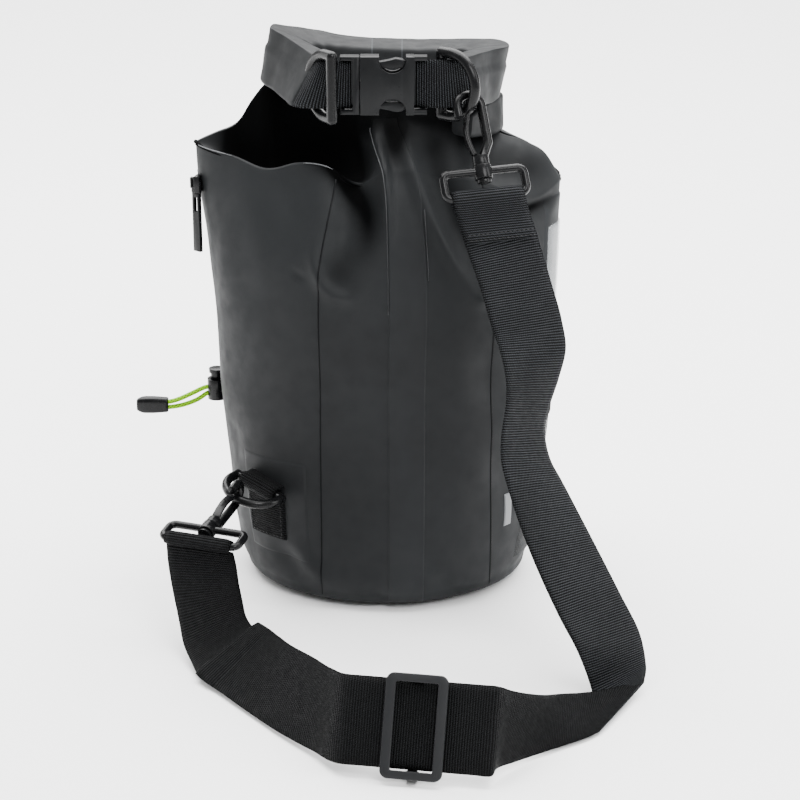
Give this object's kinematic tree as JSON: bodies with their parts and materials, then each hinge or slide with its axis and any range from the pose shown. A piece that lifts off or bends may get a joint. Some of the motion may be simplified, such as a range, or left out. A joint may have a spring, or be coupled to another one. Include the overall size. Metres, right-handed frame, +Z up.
{
  "type": "roll-top dry bag",
  "caption": "Roll-top dry bag with a side-release buckle closure, zipped window pocket, mesh pocket and clip-on shoulder strap.",
  "frame": {"origin": "middle of the base, where it rests on the ground", "axes": "+Z up through the roll; -Y is the buckle side with the strap in front; the pockets face +Y"},
  "size_m": [0.2771, 0.3399, 0.312],
  "materials": {
    "coated_fabric": "matte coated fabric with soft folds",
    "welded_band": "matte coated fabric, welded flat",
    "webbing": "woven black webbing with fine cross ribs",
    "buckle_plastic": "satin dark grey moulded plastic",
    "hardware_plastic": "semi-gloss black moulded plastic",
    "slider_plastic": "matte dark grey moulded plastic",
    "window_film": "clear soft film, slightly hazy",
    "mesh": "open black knitted mesh",
    "cord": "braided lime green cord",
    "spring_steel": "plain wire",
    "reflective_film": "pale reflective film",
    "stiffener_plastic": "plain strip"
  },
  "bodies": {
    "bag": {"body_shell": "coated_fabric", "base_panel": "coated_fabric", "centre_band": "welded_band", "seam_left": "welded_band", "seam_right": "welded_band", "roll_core": "coated_fabric", "roll_stiffener": "stiffener_plastic", "roll_end_right": "coated_fabric", "closure_web_right": "webbing", "buckle_female": "buckle_plastic", "anchor_patch": "welded_band", "anchor_web": "webbing", "anchor_loop": "webbing", "strap_web": "webbing", "strap_return": "webbing", "strap_ring_upper": "hardware_plastic", "strap_ring_lower": "hardware_plastic", "pocket_panel": "welded_band", "pocket_window": "window_film", "zip_tape": "webbing", "mesh_pocket": "mesh", "mesh_hem": "webbing", "cord_lock": "hardware_plastic", "cord_spring": "spring_steel", "cord_upper": "cord", "cord_lower": "cord", "cord_end": "hardware_plastic", "reflector": "reflective_film"},
    "closure_left": {"roll_end_left": "coated_fabric", "closure_web_left": "webbing", "buckle_male": "buckle_plastic"},
    "prong_upper": {"prong_upper": "buckle_plastic"},
    "prong_lower": {"prong_lower": "buckle_plastic"},
    "ring_left": {"closure_ring_left": "hardware_plastic"},
    "ring_right": {"closure_ring_right": "hardware_plastic"},
    "anchor_ring": {"anchor_ring": "hardware_plastic"},
    "hook_upper": {"hook_upper": "hardware_plastic"},
    "gate_upper": {"gate_upper": "hardware_plastic"},
    "hook_lower": {"hook_lower": "hardware_plastic"},
    "gate_lower": {"gate_lower": "hardware_plastic"},
    "slider": {"strap_slider": "slider_plastic", "slider_loop": "webbing"},
    "zip_slider": {"zip_slider": "hardware_plastic"},
    "zip_puller": {"zip_puller": "hardware_plastic"},
    "cord_plunger": {"cord_plunger": "hardware_plastic"}
  },
  "joints": [
    {"name": "buckle_slide", "type": "slide", "parent": "bag", "child": "closure_left", "axis": [-1, 0, 0], "range_m": [0, 0.024]},
    {"name": "prong_upper_flex", "type": "hinge", "parent": "closure_left", "child": "prong_upper", "pos_m": [-0.0134, -0.064, 0.3028], "axis": [0, 1, 0], "range_deg": [0, 15.1]},
    {"name": "prong_lower_flex", "type": "hinge", "parent": "closure_left", "child": "prong_lower", "pos_m": [-0.0134, -0.064, 0.2822], "axis": [0, -1, 0], "range_deg": [0, 15.1]},
    {"name": "ring_left_swing", "type": "hinge", "parent": "closure_left", "child": "ring_left", "pos_m": [-0.032, -0.064, 0.2919], "axis": [0, 0, 1], "range_deg": [-35, 0]},
    {"name": "ring_right_swing", "type": "hinge", "parent": "bag", "child": "ring_right", "pos_m": [0.0332, -0.0623, 0.2919], "axis": [0, 0, 1], "range_deg": [-1, 2]},
    {"name": "anchor_ring_swing", "type": "hinge", "parent": "bag", "child": "anchor_ring", "pos_m": [-0.07, -0.053, 0.067], "axis": [0.7877, -0.5678, -0.2389], "range_deg": [-3, 3]},
    {"name": "hook_upper_swivel", "type": "hinge", "parent": "bag", "child": "hook_upper", "pos_m": [0.0489, -0.0862, 0.2528], "axis": [-0.1697, 0.4915, 0.8542], "range_deg": [-4, 4]},
    {"name": "gate_upper_hinge", "type": "hinge", "parent": "hook_upper", "child": "gate_upper", "pos_m": [0.04487, -0.08308, 0.26004], "axis": [-0.32, 0.7923, -0.5194], "range_deg": [0, 12], "stiffness_Nm_per_rad": 0.05, "springref_deg": -8.59},
    {"name": "hook_lower_swivel", "type": "hinge", "parent": "bag", "child": "hook_lower", "pos_m": [-0.0944, -0.0989, 0.061], "axis": [0.3453, 0.9246, 0.1609], "range_deg": [-4, 4]},
    {"name": "gate_lower_hinge", "type": "hinge", "parent": "hook_lower", "child": "gate_lower", "pos_m": [-0.0912, -0.09172, 0.06507], "axis": [-0.9326, 0.3187, 0.1696], "range_deg": [0, 12], "stiffness_Nm_per_rad": 0.05, "springref_deg": -8.59},
    {"name": "strap_adjust", "type": "slide", "parent": "bag", "child": "slider", "axis": [0.9848, -0.174, 0], "range_m": [-0.012, 0.012]},
    {"name": "zip_run", "type": "hinge", "parent": "bag", "child": "zip_slider", "pos_m": [-0.08, 0.006, 0.2255], "axis": [0, 0, -1], "range_deg": [0, 40]},
    {"name": "puller_swing", "type": "hinge", "parent": "zip_slider", "child": "zip_puller", "pos_m": [-0.1084, -0.003, 0.227], "axis": [0, 1, 0], "range_deg": [0, 150]},
    {"name": "lock_press", "type": "slide", "parent": "bag", "child": "cord_plunger", "axis": [0, 0, -1], "range_m": [0, 0.0035], "stiffness_N_per_m": 300, "springref_m": -0.002, "deforming": ["cord_spring"]}
  ],
  "couplings": [
    {"joint": "prong_upper_flex", "follows": "buckle_slide", "rad_per_m": 10.9},
    {"joint": "prong_lower_flex", "follows": "buckle_slide", "rad_per_m": 10.9}
  ]
}
